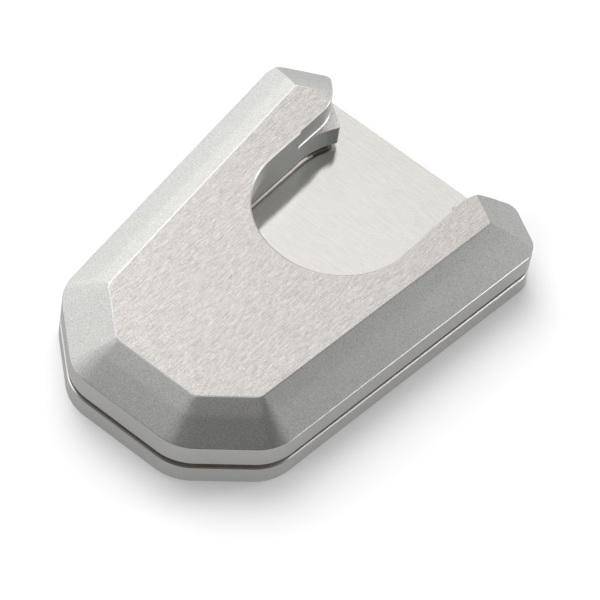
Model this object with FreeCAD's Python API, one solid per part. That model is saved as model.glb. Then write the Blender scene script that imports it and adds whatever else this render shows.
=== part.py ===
import FreeCAD, Part
import math
import os

os.makedirs("parts", exist_ok=True)

# Kickstand foot enlarger: a machined body and a base plate, screwed together around the foot of a
# motorcycle's side stand. Millimetres, +Z up, +Y towards the open mouth of the pocket. The origin is
# under the middle of the part, on the face that stands on the ground.

# Outline from above, shared by the body and the plate
total_length = 101.6
tail_width = 76.0
shoulder_width = 61.5
nose_width = 29.0
nose_cut_length = 14.75
tail_corner_setback = 5.8
tail_cut_angle = 29.5
nose_corner_radius = 12.0
shoulder_radius = 12.0
tail_corner_radius = 6.0
plate_corner_radius = 3.0

# Heights of the plate, of the land on it, of the body's upright band and of its slopes
plate_thickness = 5.0
land_height = 1.3
band_height = 5.5
slope_height = 6.05
slope_run = 9.6

# Each slope is two flats, the lower one a little steeper. They meet in a faint line, at this share
# of the run, which stands this far above a straight slope.
slope_line_share = 0.605
slope_line_rise = 0.19

# Pocket for the stand's foot, open through the deck. Setbacks are from the back edge. The lower half
# is an oblong that reaches further under the deck at the toe, and closes in around the heel with a
# hook on each side.
pocket_width = 37.7
pocket_shift = 0.45
toe_setback = 49.95
toe_undercut = 7.0
heel_setback = 19.1
hook_height = 5.5
hook_angle = 32.0
hook_face_angle = 34.5
hook_tip_radius = 0.7

# Mouth: above the hooks the wall is set back a little and then opens outwards
relief_setback = 20.7
relief_depth = 0.3
relief_foot_radius = 0.3
mouth_angle = 38.0
mouth_round = 10.0
prong_tip_x = 26.5
prong_tip_radius = 2.4

# Broken and rounded edges
ridge_radius = 1.0
slope_line_width = 1.3
band_edge_radius = 0.4
edge_break = 0.25
lip_chamfer = 0.4
relief_chamfer = 0.15
land_foot_radius = 0.6

# Shadow groove between body and plate, and the land's setback from the pocket's wall
groove_depth = 2.0
land_gap = 0.2

# Countersunk screws, put in from below
screw_diameter = 5.0
screw_length = 12.0
screw_head_diameter = 10.0
screw_head_rim = 0.3
screw_socket_width = 3.0
screw_socket_depth = 1.9
screw_end_chamfer = 0.5
screw_sink = 0.2
screw_play = 0.05
head_play = 0.1
clearance_hole_diameter = 5.5
thread_depth = 8.0
prong_screw_x = 27.5
prong_screw_setback = 28.8
nose_screw_x = 14.0
nose_screw_setback = 19.8

# Places worked out from the sizes above
nose_y = -total_length / 2
back_y = total_length / 2
tail_x = tail_width / 2
tail_y = back_y - tail_corner_setback
tail_slope = math.tan(math.radians(tail_cut_angle))
back_corner_x = tail_x - (back_y - tail_y) / tail_slope
land_top = plate_thickness + land_height
band_top = land_top + band_height
body_top = band_top + slope_height
slope_line_in = slope_run * slope_line_share
slope_line_z = band_top + slope_height * slope_line_share + slope_line_rise
ledge_z = land_top + hook_height
pocket_radius = pocket_width / 2
deck_toe_y = back_y - toe_setback + pocket_radius
foot_toe_y = deck_toe_y - toe_undercut
heel_y = back_y - heel_setback
relief_y = back_y - relief_setback
relief_radius = pocket_radius + relief_depth
prong_tip_y = tail_y + (tail_x - prong_tip_x) * tail_slope
nose_screw_y = nose_y + nose_screw_setback
prong_screw_y = back_y - prong_screw_setback

# How far a cutting tool runs past what it cuts, how many flats make up a rounded edge, and how
# close two heights have to be to count as one
BEYOND = 40.0
EDGE_STEPS = 3
NEAR = 1e-4
UP = FreeCAD.Vector(0, 0, 1)


def at(x, y, z=0.0):
    return FreeCAD.Vector(x, y, z)


def toward(angle):
    """The direction in plan that is this many degrees from +X."""
    return at(math.cos(math.radians(angle)), math.sin(math.radians(angle)))


def mirrored(points):
    """A closed outline, anticlockwise, from its right half, listed from the nose to the tail."""
    return points + [at(-p.x, p.y) for p in reversed(points) if abs(p.x) > 1e-9]


def cross(a, b):
    return a.x * b.y - a.y * b.x


def meet(a, a_way, b, b_way):
    """Where two lines in plan meet, each given by a point and a direction."""
    return a + a_way * (cross(b - a, b_way) / cross(a_way, b_way))


def leave_circle(point, way, centre, radius):
    """Where a line in plan, followed from the point, goes out of a circle."""
    start = point - centre
    along = start.dot(way)
    return point + way * (math.sqrt(along * along - start.dot(start) + radius * radius) - along)


def raised(points, z):
    return [at(p.x, p.y, z) for p in points]


def polygon(points):
    return Part.makePolygon(points + [points[0]])


def prism(points, bottom, top):
    return Part.Face(polygon(raised(points, bottom))).extrude(at(0, 0, top - bottom))


def inset(points, distance):
    """An anticlockwise convex outline with each side moved inwards by the distance."""
    moved = []
    for i, corner in enumerate(points):
        arriving = (corner - points[i - 1]).normalize()
        leaving = (points[(i + 1) % len(points)] - corner).normalize()
        inwards = at(-arriving.y, arriving.x) + at(-leaving.y, leaving.x)
        moved.append(corner + inwards * (distance / (1 + arriving.dot(leaving))))
    return moved


def line(a, b):
    return Part.LineSegment(a, b).toShape()


def arc(centre, radius, start_angle, end_angle):
    """An arc in plan, through the middle of its two angles in degrees from +X."""
    middle_angle = (start_angle + end_angle) / 2
    start, middle, end = [centre + toward(a) * radius for a in (start_angle, middle_angle, end_angle)]
    return Part.Arc(start, middle, end).toShape()


def at_height(edges, z):
    wire = Part.Wire(edges)
    wire.translate(at(0, 0, z))
    return wire


def column(edges, bottom, top):
    return Part.Face(at_height(edges, bottom)).extrude(at(0, 0, top - bottom))


def tiered(outline, radii, profile):
    """A solid with an outline's sides and rounded corners.

    The profile is the section of its edge, from the bottom up, as (how far inside the outline, height).
    """
    rings = [raised(inset(outline, inside), height) for inside, height in profile]
    faces = [Part.Face(polygon(rings[0])), Part.Face(polygon(rings[-1]))]
    for lower, upper in zip(rings, rings[1:]):
        for i in range(len(outline)):
            faces.append(Part.Face(polygon([lower[i - 1], lower[i], upper[i], upper[i - 1]])))
    solid = Part.Solid(Part.Shell(faces))
    for i, radius in enumerate(radii):
        if radius > 0:
            solid = solid.cut(corner_tool(outline, i, radius, profile))
    return solid


def corner_tool(outline, i, radius, profile):
    """What rounding one corner of a tiered solid removes: the corner less a turned core."""
    corner = outline[i]
    to_before = (outline[i - 1] - corner).normalize()
    to_after = (outline[(i + 1) % len(outline)] - corner).normalize()
    half_angle = to_before.getAngle(to_after) / 2
    tangent = radius / math.tan(half_angle)
    inwards = (to_before + to_after).normalize()
    centre = corner + inwards * (radius / math.sin(half_angle))
    bottom, top = profile[0][1], profile[-1][1]
    wedge = prism([centre, corner + to_before * tangent, corner, corner + to_after * tangent], bottom, top)
    section = [at(0, 0, bottom)]
    for inside, height in profile:
        if inside >= radius:
            last_x, last_z = section[-1].x, section[-1].z
            section.append(at(0, 0, last_z + (height - last_z) * last_x / (last_x - radius + inside)))
            break
        section.append(at(radius - inside, 0, height))
    else:
        section.append(at(0, 0, top))
    core = Part.Face(polygon(section)).revolve(at(0, 0), UP, 360)
    core.rotate(at(0, 0), UP, math.degrees(math.atan2(inwards.y, inwards.x)))
    core.translate(centre)
    return wedge.cut(core)


def edges_where(tool, z, start_y):
    """A mouth tool's edges at a height, without the ones that close it at its start and far outside."""
    found = []
    for edge in tool.Edges:
        box = edge.BoundBox
        level = abs(box.ZMin - z) < NEAR and abs(box.ZMax - z) < NEAR
        if level and box.YMax > start_y + NEAR and box.YMin < back_y:
            found.append(edge)
    return found


# The shared outline. The body's runs on past the prongs to a point, which the mouth then removes.
side_corners = [
    at(nose_width / 2, nose_y),
    at(shoulder_width / 2, nose_y + nose_cut_length),
    at(tail_x, tail_y),
]
body_outline = mirrored(side_corners + [at(0, tail_y + tail_x * tail_slope)])
plate_outline = mirrored(side_corners + [at(back_corner_x, back_y)])
side_radii = [nose_corner_radius, shoulder_radius, tail_corner_radius]
body_radii = side_radii + [0.0] + side_radii[::-1]
tail_corners = (2, 4)
slope_radii = [0.0 if i in tail_corners else radius for i, radius in enumerate(body_radii)]
plate_radii = side_radii + [plate_corner_radius, plate_corner_radius] + side_radii[::-1]

# Right edge of the mouth: it passes through the prong's tip
flare_way = toward(90 - mouth_angle)
flare_into = at(flare_way.y, -flare_way.x)
prong_tip = at(prong_tip_x, prong_tip_y)


def softened(profile, edge_radii):
    """A section with some of its bends rounded; edge_radii holds (bend's index, radius)."""
    bends = dict(edge_radii)
    points = []
    for i, (inside, height) in enumerate(profile):
        if i not in bends:
            points.append((inside, height))
            continue
        bend = at(inside, height)
        back = (at(*profile[i - 1]) - bend).normalize()
        on = (at(*profile[i + 1]) - bend).normalize()
        half_angle = back.getAngle(on) / 2
        reach = bends[i] / math.tan(half_angle)
        centre = bend + (back + on).normalize() * (bends[i] / math.sin(half_angle))
        start, end = bend + back * reach, bend + on * reach
        for step in range(EDGE_STEPS + 1):
            spot = start + (end - start) * (step / EDGE_STEPS)
            spot = centre + (spot - centre).normalize() * bends[i]
            points.append((spot.x, spot.y))
    return points


def hook_side(side, grow, back_off):
    """From the heel's arc outwards on one side: the hook's rounded tip, its end face, the mouth's edge.

    The wall around the heel is moved outwards by grow, and the two faces past the tip by back_off.
    """
    heel = at(pocket_shift * side, heel_y)
    face_way = toward(hook_face_angle)
    face_into = at(face_way.y, -face_way.x)
    face_point = heel + toward(hook_angle) * pocket_radius + face_into * back_off
    wall_radius = pocket_radius + grow
    tip_path = face_point + face_into * hook_tip_radius - face_way * pocket_radius
    tip_centre = leave_circle(tip_path, face_way, heel, wall_radius + hook_tip_radius)
    on_wall = heel + (tip_centre - heel) * (wall_radius / (wall_radius + hook_tip_radius))
    on_face = tip_centre - face_into * hook_tip_radius
    outwards = (on_wall + on_face - tip_centre * 2).normalize()
    turn = meet(face_point, face_way, prong_tip + flare_into * back_off, flare_way)
    spots = [on_wall, tip_centre + outwards * hook_tip_radius, on_face, turn, turn + flare_way * BEYOND]
    angle = math.degrees(math.atan2(on_wall.y - heel.y, on_wall.x - heel.x))
    return angle, [at(side * p.x, p.y) for p in spots]


def foot_profile(grow=0.0, back_off=0.0):
    """The pocket below the deck: the outline of the stand's foot, with the mouth between the hooks."""
    radius = pocket_radius + grow
    right_angle, right = hook_side(1, grow, back_off)
    left_angle, left = hook_side(-1, grow, back_off)
    toe = at(pocket_shift, foot_toe_y)
    heel = at(pocket_shift, heel_y)
    return [
        arc(toe, radius, 180, 360),
        line(toe + toward(0) * radius, heel + toward(0) * radius),
        arc(heel, radius, 0, right_angle),
        Part.Arc(right[0], right[1], right[2]).toShape(),
        line(right[2], right[3]),
        line(right[3], right[4]),
        line(right[4], left[4]),
        line(left[4], left[3]),
        line(left[3], left[2]),
        Part.Arc(left[2], left[1], left[0]).toShape(),
        arc(heel, radius, 180 - left_angle, 180),
        line(heel + toward(180) * radius, toe + toward(180) * radius),
    ]


def deck_profile(grow=0.0):
    """The opening through the deck, from its toe to where the mouth is set back."""
    radius = pocket_radius + grow
    toe = at(pocket_shift, deck_toe_y)
    right_end = at(pocket_shift + radius, relief_y)
    left_end = at(pocket_shift - radius, relief_y)
    return [
        arc(toe, radius, 180, 360),
        line(toe + toward(0) * radius, right_end),
        line(right_end, left_end),
        line(left_end, toe + toward(180) * radius),
    ]


def mouth_side(side, grow):
    """One wall of the mouth above the hooks, from its start to far out: straight, round, straight."""
    wall_x = pocket_shift * side + relief_radius + grow
    round_radius = mouth_round - grow
    turned = toward(180 - mouth_angle)
    round_end_x = wall_x + round_radius * (1 + turned.x)
    on_flare = prong_tip + flare_into * grow
    round_end = on_flare + flare_way * ((round_end_x - on_flare.x) / flare_way.x)
    centre = at(wall_x + round_radius, round_end.y - round_radius * turned.y)
    spots = [
        at(wall_x, relief_y),
        at(wall_x, centre.y),
        centre + toward(180 - mouth_angle / 2) * round_radius,
        round_end,
        on_flare + flare_way * BEYOND,
    ]
    return [at(side * p.x, p.y) for p in spots]


def mouth_profile(grow=0.0):
    """The open end of the pocket above the hooks."""
    right = mouth_side(1, grow)
    left = mouth_side(-1, grow)
    return [
        line(left[0], right[0]),
        line(right[0], right[1]),
        Part.Arc(right[1], right[2], right[3]).toShape(),
        line(right[3], right[4]),
        line(right[4], left[4]),
        line(left[4], left[3]),
        Part.Arc(left[3], left[2], left[1]).toShape(),
        line(left[1], left[0]),
    ]


def chamfer_tool(profile, size):
    """A 45 degree funnel that breaks the edge of a profile's cut through the top face."""
    lower = at_height(profile(0.0), body_top - size)
    upper = at_height(profile(2 * size), body_top + size)
    return Part.makeLoft([lower, upper], True, True)


def tip_tool(side):
    """What rounding the upright edge at the end of one prong removes."""
    corner = at(side * prong_tip.x, prong_tip.y)
    along_tail = (at(side * tail_x, tail_y) - corner).normalize()
    along_mouth = at(-side * flare_way.x, -flare_way.y)
    half_angle = along_tail.getAngle(along_mouth) / 2
    tangent = prong_tip_radius / math.tan(half_angle)
    inwards = (along_tail + along_mouth).normalize()
    centre = corner + inwards * (prong_tip_radius / math.sin(half_angle))
    wedge_points = [centre, corner + along_tail * tangent, corner, corner + along_mouth * tangent]
    core = Part.makeCylinder(prong_tip_radius, body_top - land_top)
    core.rotate(at(0, 0), UP, math.degrees(math.atan2(inwards.y, inwards.x)))
    core.translate(at(centre.x, centre.y, land_top))
    return prism(wedge_points, land_top, body_top).cut(core)


def turned(section):
    """A solid turned about Z from a section listed as (radius, height)."""
    return Part.Face(polygon([at(radius, 0, height) for radius, height in section])).revolve(at(0, 0), UP, 360)


def at_screws(shape):
    """The shape repeated at the four screws' places."""
    copies = []
    for x, y in ((nose_screw_x, nose_screw_y), (prong_screw_x, prong_screw_y)):
        for side in (-1, 1):
            copy = shape.copy()
            copy.translate(at(side * x, y))
            copies.append(copy)
    return copies


def single(shape):
    """The one solid a shape is made of."""
    solids = shape.removeSplitter().Solids
    if len(solids) != 1:
        raise ValueError("expected one solid, found %d" % len(solids))
    return solids[0]


def upper_body():
    """Milled from bar: outline, slopes, the pocket with its hooks and mouth, threaded holes below.

    The slopes turn the nose and shoulder corners as cones. At the tail they meet in a mitre, and the
    upright edge is rounded straight up through it.
    """
    slope_line = at(slope_line_in, slope_line_z)
    down = (at(0.0, band_top) - slope_line).normalize() * (slope_line_width / 2)
    up = (at(slope_run, body_top) - slope_line).normalize() * (slope_line_width / 2)
    section = [
        (edge_break, land_top),
        (0.0, land_top + edge_break),
        (0.0, band_top),
        (slope_line_in + down.x, slope_line_z + down.y),
        (slope_line_in + up.x, slope_line_z + up.y),
        (slope_run, body_top),
        (slope_run + ridge_radius, body_top),
    ]
    section = softened(section, [(2, band_edge_radius), (5, ridge_radius)])[:-1]
    body = tiered(body_outline, slope_radii, section)
    upright = section[:2] + [(0.0, body_top)]
    for i in tail_corners:
        body = body.cut(corner_tool(body_outline, i, tail_corner_radius, upright))

    body = body.cut(column(foot_profile(), land_top, ledge_z))
    body = body.cut(column(deck_profile(), land_top, body_top))
    mouth = column(mouth_profile(), ledge_z, body_top)
    foot_edges = edges_where(mouth, ledge_z, relief_y)
    body = body.cut(mouth.makeFillet(relief_foot_radius, foot_edges))
    between_hooks = column(foot_profile(), ledge_z, ledge_z + relief_foot_radius)
    toe_side = [at(-BEYOND, nose_y), at(BEYOND, nose_y), at(BEYOND, relief_y), at(-BEYOND, relief_y)]
    body = body.cut(between_hooks.cut(prism(toe_side, ledge_z, body_top)))
    body = body.cut(chamfer_tool(deck_profile, lip_chamfer))
    body = body.cut(chamfer_tool(mouth_profile, relief_chamfer))
    for side in (1, -1):
        body = body.cut(tip_tool(side))

    hole = Part.makeCylinder(screw_diameter / 2, thread_depth, at(0, 0, land_top))
    for tool in at_screws(hole):
        body = body.cut(tool)
    return single(body)


def base_plate():
    """The wear plate on the ground, with the land that spaces the body off it, countersunk below."""
    section = [
        (edge_break, 0.0),
        (0.0, edge_break),
        (0.0, plate_thickness - edge_break),
        (edge_break, plate_thickness),
    ]
    plate = tiered(plate_outline, plate_radii, section)
    land_radii = [max(radius - groove_depth, 0.0) for radius in body_radii]
    land_section = [(0.0, plate_thickness), (0.0, land_top)]
    plate = plate.fuse(tiered(inset(body_outline, groove_depth), land_radii, land_section))

    pocket = column(foot_profile(land_gap, groove_depth), plate_thickness, land_top)
    foot_edges = edges_where(pocket, plate_thickness, nose_y)
    plate = plate.cut(pocket.makeFillet(land_foot_radius, foot_edges))

    cone_start = screw_sink + screw_head_rim
    seat_radius = screw_head_diameter / 2
    hole_radius = clearance_hole_diameter / 2
    hole = turned([
        (0.0, 0.0),
        (seat_radius + head_play, 0.0),
        (seat_radius + head_play, cone_start - head_play),
        (hole_radius, cone_start + seat_radius - hole_radius),
        (hole_radius, land_top),
        (0.0, land_top),
    ])
    for tool in at_screws(hole):
        plate = plate.cut(tool)
    return single(plate)


def screw():
    """One countersunk screw, head down, with its axis on Z and plain where the thread would be."""
    head_radius = screw_head_diameter / 2
    shank_radius = screw_diameter / 2 - screw_play
    cone_start = screw_sink + screw_head_rim
    end = screw_sink + screw_length
    blank = turned([
        (0.0, screw_sink),
        (head_radius, screw_sink),
        (head_radius, cone_start),
        (shank_radius, cone_start + head_radius - shank_radius),
        (shank_radius, end - screw_end_chamfer),
        (shank_radius - screw_end_chamfer, end),
        (0.0, end),
    ])
    socket_corner = screw_socket_width / 2 / math.cos(math.radians(30))
    socket_points = [toward(60 * i) * socket_corner for i in range(6)]
    return blank.cut(prism(socket_points, screw_sink, screw_sink + screw_socket_depth))


def export(name, shape):
    shape.exportStep(os.path.join("parts", name + ".step"))


export("upper_body", upper_body())
export("base_plate", base_plate())
export("countersunk_screws", Part.Compound(at_screws(screw())))
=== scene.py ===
import bpy
import bmesh
import math
from mathutils import Matrix, Vector


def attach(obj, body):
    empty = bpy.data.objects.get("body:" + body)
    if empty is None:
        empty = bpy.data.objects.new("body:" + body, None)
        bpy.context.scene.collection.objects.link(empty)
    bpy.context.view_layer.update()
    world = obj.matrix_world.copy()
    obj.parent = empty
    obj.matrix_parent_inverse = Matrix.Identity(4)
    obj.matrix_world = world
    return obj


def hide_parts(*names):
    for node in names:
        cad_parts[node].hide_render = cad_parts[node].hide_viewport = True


# Kickstand foot enlarger, rested on its base plate. Metres, +Z up, nose towards -Y, open end of the
# pocket towards +Y, as in the part's source.
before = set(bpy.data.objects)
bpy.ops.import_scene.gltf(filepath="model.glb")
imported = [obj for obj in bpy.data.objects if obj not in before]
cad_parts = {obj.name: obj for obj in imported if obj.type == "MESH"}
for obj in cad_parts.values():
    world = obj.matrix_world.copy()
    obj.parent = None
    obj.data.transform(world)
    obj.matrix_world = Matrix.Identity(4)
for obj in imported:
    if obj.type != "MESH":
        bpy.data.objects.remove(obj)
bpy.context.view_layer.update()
MM = 0.001


# Upper body: a block of aluminium, sawn from bar and milled all over. Its upright band and its slopes
# are bead-blasted, the deck is brushed from nose to tail over the blasting, and the pocket's walls
# are left as the cutter made them. Four screws from below hold it to the plate.
POCKET_X = 0.45 * MM
POCKET_TOE_Y = -8.0 * MM
LIP_Z = 17.4 * MM
# How far up a face looks, as its normal's Z: more than this on a slope, and on a level face
SLOPE_UP = 0.8
FLAT_UP = 0.999
# Points nearer than this are one, and faces that bend by less than the angle are one flat face
JOIN = 0.001 * MM
FLATNESS = math.radians(0.05)
CREASE = math.radians(24)
BRUSHING = "brushing"
UV_SPAN = 100 * MM
SPECK = 0.24 * MM
SPECK_SHARE = 0.4
ALONG_X, ALONG_Y = range(2)


def linear(code):
    """An sRGB hex colour as the linear RGBA that a shader takes."""
    parts = [int(code[i:i + 2], 16) / 255 for i in (1, 3, 5)]
    return [p / 12.92 if p <= 0.04045 else ((p + 0.055) / 1.055) ** 2.4 for p in parts] + [1.0]


def add(material, kind, inputs=None, **settings):
    """A new node with its settings; an input is a value, or the output of another node."""
    new = material.node_tree.nodes.new(kind)
    for name, value in settings.items():
        setattr(new, name, value)
    for name, value in (inputs or {}).items():
        if isinstance(value, bpy.types.NodeSocket):
            material.node_tree.links.new(value, new.inputs[name])
        else:
            new.inputs[name].default_value = value
    return new


def finish_of(name):
    """A new material and its emptied node tree's output."""
    material = bpy.data.materials.new(name)
    material.use_nodes = True
    material.node_tree.nodes.clear()
    return material, add(material, "ShaderNodeOutputMaterial")


def grained(name, light, dark, grain, hardness, roughness, swing, depth, cloud, pull=0.0):
    """Bare metal with a grain of the given size, in metres along X, Y and Z.

    The grain moves the colour between dark and light, the more abruptly the nearer hardness is to 1,
    and is raised by depth. Clouds of another size swing the roughness. Pull stretches reflections
    along the U axis of the piece's UV map.
    """
    material, output = finish_of(name)
    place = add(material, "ShaderNodeTexCoord").outputs["Object"]
    stretched = add(material, "ShaderNodeMapping", {"Vector": place, "Scale": [1 / g for g in grain]})
    noise = add(material, "ShaderNodeTexNoise",
                {"Vector": stretched.outputs["Vector"], "Scale": 1.0, "Detail": 3.0, "Roughness": 0.75})
    clouds = add(material, "ShaderNodeTexNoise", {"Vector": place, "Scale": 1 / cloud, "Detail": 3.0})
    speckle = add(material, "ShaderNodeTexNoise", {"Vector": place, "Scale": 1 / SPECK, "Detail": 1.0})
    grit = add(material, "ShaderNodeMix",
               {"Factor": SPECK_SHARE, "A": noise.outputs["Fac"], "B": speckle.outputs["Fac"]})
    spread = add(material, "ShaderNodeMapRange",
                 {"Value": grit.outputs["Result"],
                  "From Min": 0.5 * hardness, "From Max": 1 - 0.5 * hardness})
    tone = add(material, "ShaderNodeMix", {"Factor": spread.outputs["Result"]}, data_type="RGBA")
    tone.inputs["A"].default_value = linear(dark)
    tone.inputs["B"].default_value = linear(light)
    uneven = add(material, "ShaderNodeMapRange",
                 {"Value": clouds.outputs["Fac"], "From Min": 0.3, "From Max": 0.7,
                  "To Min": roughness - swing, "To Max": roughness + swing})
    bump = add(material, "ShaderNodeBump", {"Height": noise.outputs["Fac"], "Distance": depth})
    metal = add(material, "ShaderNodeBsdfPrincipled",
                {"Base Color": tone.outputs["Result"], "Roughness": uneven.outputs["Result"],
                 "Normal": bump.outputs["Normal"], "Metallic": 1.0, "Anisotropic": pull})
    if pull:
        across = add(material, "ShaderNodeTangent", direction_type="UV_MAP", uv_map=BRUSHING)
        material.node_tree.links.new(across.outputs["Tangent"], metal.inputs["Tangent"])
    material.node_tree.links.new(metal.outputs["BSDF"], output.inputs["Surface"])
    return material


# Bead-blasted aluminium: an even frost with no direction, fine enough to read as a soft sheen
blasted = grained("bead_blasted_aluminium", "#EFEFEC", "#C8C7C5", (0.34 * MM,) * 3,
                  hardness=0.75, roughness=0.29, swing=0.01, depth=0.008 * MM, cloud=6 * MM)
# Satin aluminium: the upright band and the broken edges, blasted more lightly, catch the light as lines
satin = grained("satin_milled_aluminium", "#DADAD7", "#CCCBC9", (0.34 * MM,) * 3,
                hardness=0.6, roughness=0.285, swing=0.005, depth=0.002 * MM, cloud=6 * MM)
# Brushed aluminium: short fine scratches from nose to tail, which give a warm silky grey. The real
# scratches are under 0.1 mm wide, and are drawn 0.2 mm wide so that they show.
brushed = grained("brushed_aluminium", "#F0ECE8", "#BEB9B6", (0.2 * MM, 3.2 * MM, 1 * MM),
                  hardness=0.75, roughness=0.33, swing=0.02, depth=0.005 * MM, cloud=9 * MM,
                  pull=0.6)
# Milled aluminium: the end mill's flank leaves it smooth and darker, with faint upright lines
milled = grained("milled_aluminium", "#DCDEDE", "#D4D6D6", (0.4 * MM, 0.4 * MM, 8 * MM),
                 hardness=0.6, roughness=0.285, swing=0.005, depth=0.001 * MM, cloud=5 * MM)
# Filed aluminium: the deck's edge round the pocket, knocked off smooth, shows as a thin bright line
filed = grained("filed_aluminium", "#DEDEDC", "#D7D7D5", (0.4 * MM,) * 3,
                hardness=0.6, roughness=0.28, swing=0.005, depth=0.001 * MM, cloud=5 * MM)


def merged(node, across):
    """A new bmesh of a CAD node: the loose triangles joined, and each flat face made one again.

    Its UV map has U across the brushing, along the given axis, for the reflections' stretch.
    """
    shape = bmesh.new()
    shape.from_mesh(node.data)
    bmesh.ops.remove_doubles(shape, verts=shape.verts, dist=JOIN)
    bmesh.ops.dissolve_limit(shape, angle_limit=FLATNESS, verts=shape.verts, edges=shape.edges)
    bmesh.ops.recalc_face_normals(shape, faces=shape.faces)
    plan = shape.loops.layers.uv.new(BRUSHING)
    for face in shape.faces:
        for loop in face.loops:
            loop[plan].uv = (loop.vert.co[across] / UV_SPAN, loop.vert.co[1 - across] / UV_SPAN)
    return shape


def piece(name, shape, finishes, stands_for):
    """The finished piece of a bmesh, shaded round its small bends and sharp at its edges."""
    for face in shape.faces:
        face.smooth = True
    for edge in shape.edges:
        if len(edge.link_faces) == 2 and edge.calc_face_angle() > CREASE:
            edge.smooth = False
    mesh = bpy.data.meshes.new(name)
    shape.to_mesh(mesh)
    shape.free()
    for finish in finishes:
        mesh.materials.append(finish)
    made = bpy.data.objects.new(name, mesh)
    bpy.context.scene.collection.objects.link(made)
    rounding = made.modifiers.new("rounding", "WEIGHTED_NORMAL")
    rounding.keep_sharp = True
    rounding.weight = 100
    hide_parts(*stands_for)
    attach(made, "root")
    return made


def faces_pocket(face, centre):
    """Whether a face with this centre looks into the pocket or the mouth."""
    return face.normal.x * (centre.x - POCKET_X) <= 0 and centre.y > POCKET_TOE_Y


BLASTED, SATIN, BRUSHED, MILLED, FILED = range(5)
body = merged(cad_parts["upper_body"], ALONG_X)
for face in body.faces:
    centre = face.calc_center_median()
    if face.normal.z > FLAT_UP:
        face.material_index = BRUSHED
    elif faces_pocket(face, centre) and centre.z > LIP_Z:
        face.material_index = FILED
    elif faces_pocket(face, centre):
        face.material_index = MILLED
    elif face.normal.z > SLOPE_UP:
        face.material_index = BLASTED
    else:
        face.material_index = SATIN
piece("body_shell", body, (blasted, satin, brushed, milled, filed), ["upper_body"])


# Base plate: 5 mm aluminium plate, sawn and milled to the same outline, with a raised land that
# leaves a dark groove under the body. Its upper face is brushed across and shows as the pocket's
# bright floor. Its rim is satin, and its underside is what wears on the ground.
PLATE_TOP = 5.0 * MM
LAND_FOOT_Z = 5.55 * MM
HOOK_Y = 35.0 * MM
# Past these, the plate's top is inside the groove
GROOVE_X, GROOVE_Y = 30.0 * MM, -40.0 * MM

# Brushed aluminium, finer and brighter than the deck and nearly polished, brushed from side to side
floor_brushed = grained("cross_brushed_aluminium", "#F7F5F0", "#EFECE6", (4.5 * MM, 0.8 * MM, 1 * MM),
                        hardness=0.75, roughness=0.15, swing=0.01, depth=0.0003 * MM,
                        cloud=12 * MM, pull=1.0)
# Sawn aluminium: inside the groove the saw's marks are left, so that it looks dull; its darker brownish
# tone is painted shade of the groove
sawn_shaded = grained("sawn_and_shade_painted_aluminium", "#CFC8BE", "#B5AEA4", (0.6 * MM, 0.6 * MM, 0.3 * MM),
               hardness=0.6, roughness=0.6, swing=0.02, depth=0.004 * MM, cloud=4 * MM)
# Shade-painted aluminium: the land's side under the pocket's wall, and under the hooks, is painted dark
# as the shade of the gap beneath the body, a thin dark line
painted_shade = grained("shade_painted_aluminium", "#6A645D", "#544F49", (0.6 * MM, 0.6 * MM, 0.3 * MM),
                  hardness=0.6, roughness=0.5, swing=0.02, depth=0.004 * MM, cloud=4 * MM)
# Fillet-milled aluminium: the small hollow at the land's foot, left by the cutter's round corner,
# shows as a pale line
hollow = grained("fillet_milled_aluminium", "#D4D0C9", "#C0BCB5", (0.6 * MM, 0.6 * MM, 0.3 * MM),
                 hardness=0.6, roughness=0.5, swing=0.02, depth=0.002 * MM, cloud=4 * MM)

RIM, FLOOR, GROOVE, LAND_SIDE, LAND_FOOT = range(5)
plate = merged(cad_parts["base_plate"], ALONG_Y)
# The top is one face from the pocket's floor out to the groove, and is cut so that each has its finish
for cut_x in (-GROOVE_X, GROOVE_X):
    top = [face for face in plate.faces
           if face.normal.z > FLAT_UP and face.calc_center_median().z < LAND_FOOT_Z]
    edges = {edge for face in top for edge in face.edges}
    corners = {corner for face in top for corner in face.verts}
    bmesh.ops.bisect_plane(plate, geom=[*top, *edges, *corners], dist=JOIN,
                           plane_co=(cut_x, 0, 0), plane_no=(1, 0, 0))
for face in plate.faces:
    centre = face.calc_center_median()
    in_groove = abs(centre.x) > GROOVE_X or centre.y < GROOVE_Y
    # The plate's top in the groove and the land's outer sides get the sawn finish, with its painted
    # groove shade
    if face.normal.z > FLAT_UP and in_groove:
        face.material_index = GROOVE
    elif face.normal.z > FLAT_UP:
        face.material_index = FLOOR
    elif centre.z > PLATE_TOP and not faces_pocket(face, centre):
        face.material_index = GROOVE
    # The land's side high under the pocket's wall, and all of it under the hooks, gets the painted shade
    elif centre.z > LAND_FOOT_Z or (centre.z > PLATE_TOP and centre.y > HOOK_Y):
        face.material_index = LAND_SIDE
    elif centre.z > PLATE_TOP:
        face.material_index = LAND_FOOT
    else:
        face.material_index = RIM
piece("wear_plate", plate, (satin, floor_brushed, sawn_shaded, painted_shade, hollow), ["base_plate"])


# Screws: four M5 countersunk socket screws in stainless steel, put in from below and sunk just under
# the plate's underside, so that the ground never reaches their heads.

# Stainless steel: turned and tumbled, a shade darker than the aluminium round it
stainless = grained("turned_stainless_steel", "#B9B8B4", "#A5A4A1", (0.5 * MM,) * 3,
                    hardness=0.6, roughness=0.3, swing=0.03, depth=0.002 * MM, cloud=4 * MM)

screws = merged(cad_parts["countersunk_screws"], ALONG_X)
piece("socket_screws", screws, (stainless,), ["countersunk_screws"])


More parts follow.
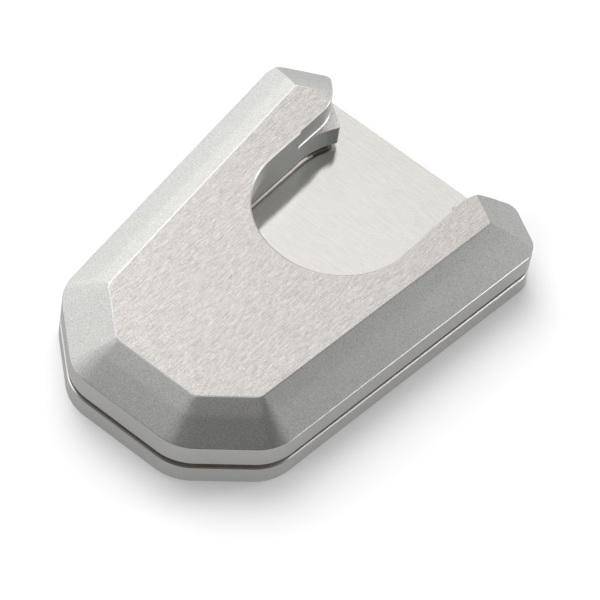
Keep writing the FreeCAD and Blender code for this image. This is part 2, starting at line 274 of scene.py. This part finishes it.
# Studio: a white paper sweep, a dome of soft boxes, brighter behind and on the left and nearly dark
# towards the camera, and a room with pale walls near the horizon. Three lamps light the paper alone,
# to keep it white, and the metal mirrors a darker paper than the camera sees, as an upright face in
# the photograph does. The camera stands in front on the right, turned a little.
CAMERA_AZIMUTH = math.radians(31.6585)
CAMERA_HEIGHT = math.radians(52.4741)
CAMERA_ROLL = math.radians(9.8914)
CAMERA_PLACE = Vector((320.82, -508.36, 786.35)) * MM
SENSOR = 36.0
LENS = 270.613
PAPER_SIZE = 3.0
PAPER_SEEN = "#F1F1F1"
PAPER_MIRRORED = "#898989"
MIRRORED_GLOW = 0.2716
# The room's brightness above, and near the horizon up to the height WALL_TOP on a unit dome
ROOM_GREY = 0.0800
WALL_GREY = 0.7182
WALL_TOP = 0.45
HORIZON = 0.03
SOFTBOX_DISTANCE = 1.2
# Each lamp: its direction from +X towards +Y and its height, how wide it looks from the part, all in
# degrees, and its power in watts
SOFTBOXES = (
    (0, 82, 32, 0.40),
    (2, 58, 32, 0.06),
    (30, 12, 32, 0.24),
    (30, 36, 32, 0.32),
    (82, 58, 32, 0.20),
    (90, 36, 32, 0.61),
    (120, 12, 32, 0.98),
    (122, 58, 32, 1.00),
    (150, 12, 32, 0.74),
    (150, 36, 32, 1.71),
    (162, 58, 32, 0.41),
    (180, 12, 32, 0.56),
    (180, 36, 32, 0.79),
    (202, 58, 32, 0.36),
    (210, 12, 32, 1.42),
    (210, 36, 32, 0.54),
    (240, 36, 32, 0.08),
    (240, 82, 32, 0.49),
    (242, 58, 32, 0.39),
    (282, 58, 32, 0.07),
    (322, 58, 32, 0.08),
    (33, 5, 20, 2.22),
    (60, 24, 20, 2.77),
)
PAPER_LIGHTS = (
    (150, 55, 50, 6.90),
    (150, 75, 50, 1.98),
    (270, 30, 50, 6.31),
)

sweep = bmesh.new()
bmesh.ops.create_grid(sweep, x_segments=1, y_segments=1, size=PAPER_SIZE / 2)
sweep_mesh = bpy.data.meshes.new("sweep")
sweep.to_mesh(sweep_mesh)
sweep.free()
floor = bpy.data.objects.new("sweep", sweep_mesh)
bpy.context.scene.collection.objects.link(floor)
paper, paper_output = finish_of("white_paper")
mirrored = add(paper, "ShaderNodeLightPath").outputs["Is Glossy Ray"]
shade = add(paper, "ShaderNodeMix", {"Factor": mirrored}, data_type="RGBA")
shade.inputs["A"].default_value = linear(PAPER_SEEN)
shade.inputs["B"].default_value = linear(PAPER_MIRRORED)
sheet = add(paper, "ShaderNodeBsdfDiffuse", {"Color": shade.outputs["Result"]})
lift = add(paper, "ShaderNodeMath", {0: mirrored, 1: MIRRORED_GLOW}, operation="MULTIPLY")
glow = add(paper, "ShaderNodeEmission", {"Color": linear("#FFFFFF"), "Strength": lift.outputs["Value"]})
both = add(paper, "ShaderNodeAddShader", {0: sheet.outputs["BSDF"], 1: glow.outputs["Emission"]})
paper.node_tree.links.new(both.outputs["Shader"], paper_output.inputs["Surface"])
sweep_mesh.materials.append(paper)

back = Vector((math.sin(CAMERA_AZIMUTH) * math.cos(CAMERA_HEIGHT),
               -math.cos(CAMERA_AZIMUTH) * math.cos(CAMERA_HEIGHT),
               math.sin(CAMERA_HEIGHT)))
across = Vector((math.cos(CAMERA_AZIMUTH), math.sin(CAMERA_AZIMUTH), 0.0))
turned = Matrix.Rotation(CAMERA_ROLL, 3, back) @ Matrix((across, back.cross(across), back)).transposed()
lens = bpy.data.cameras.new("camera")
lens.sensor_width = SENSOR
lens.lens = LENS
camera = bpy.data.objects.new("camera", lens)
camera.matrix_world = Matrix.Translation(CAMERA_PLACE) @ turned.to_4x4()
bpy.context.scene.collection.objects.link(camera)
bpy.context.scene.camera = camera


def softbox(name, azimuth, height, spread, watts):
    """A round lamp aimed at the part, placed as the tables say."""
    light = bpy.data.lights.new(name, "AREA")
    light.shape = "DISK"
    light.size = 2 * SOFTBOX_DISTANCE * math.tan(math.radians(spread / 2))
    light.energy = watts
    lamp = bpy.data.objects.new(name, light)
    a, h = math.radians(azimuth), math.radians(height)
    way = Vector((math.cos(a) * math.cos(h), math.sin(a) * math.cos(h), math.sin(h)))
    aim = way.to_track_quat("Z", "Y").to_matrix().to_4x4()
    lamp.matrix_world = Matrix.Translation(way * SOFTBOX_DISTANCE) @ aim
    bpy.context.scene.collection.objects.link(lamp)
    return lamp


for azimuth, height, spread, watts in SOFTBOXES:
    softbox("softbox_%d_%d" % (azimuth, height), azimuth, height, spread, watts)

paper_only = bpy.data.collections.new("paper_only")
paper_only.objects.link(floor)
for azimuth, height, spread, watts in PAPER_LIGHTS:
    lamp = softbox("paper_light_%d_%d" % (azimuth, height), azimuth, height, spread, watts)
    lamp.light_linking.receiver_collection = paper_only

room = bpy.data.worlds.new("room")
room.use_nodes = True
room.node_tree.nodes.clear()
facing = add(room, "ShaderNodeSeparateXYZ", {0: add(room, "ShaderNodeTexCoord").outputs["Generated"]})
above = add(room, "ShaderNodeMapRange",
            {"Value": facing.outputs["Z"], "From Min": -HORIZON, "From Max": HORIZON})
wall = add(room, "ShaderNodeMapRange",
           {"Value": facing.outputs["Z"], "From Min": 0.0, "From Max": WALL_TOP,
            "To Min": WALL_GREY, "To Max": ROOM_GREY}, interpolation_type="SMOOTHSTEP")
level = add(room, "ShaderNodeMath",
            {0: above.outputs["Result"], 1: wall.outputs["Result"]}, operation="MULTIPLY")
dim = add(room, "ShaderNodeBackground", {"Color": linear("#FFFFFF"), "Strength": level.outputs["Value"]})
add(room, "ShaderNodeOutputWorld", {"Surface": dim.outputs["Background"]})
room.cycles.sampling_method = "NONE"
bpy.context.scene.world = room
bpy.context.scene.view_settings.view_transform = "Standard"
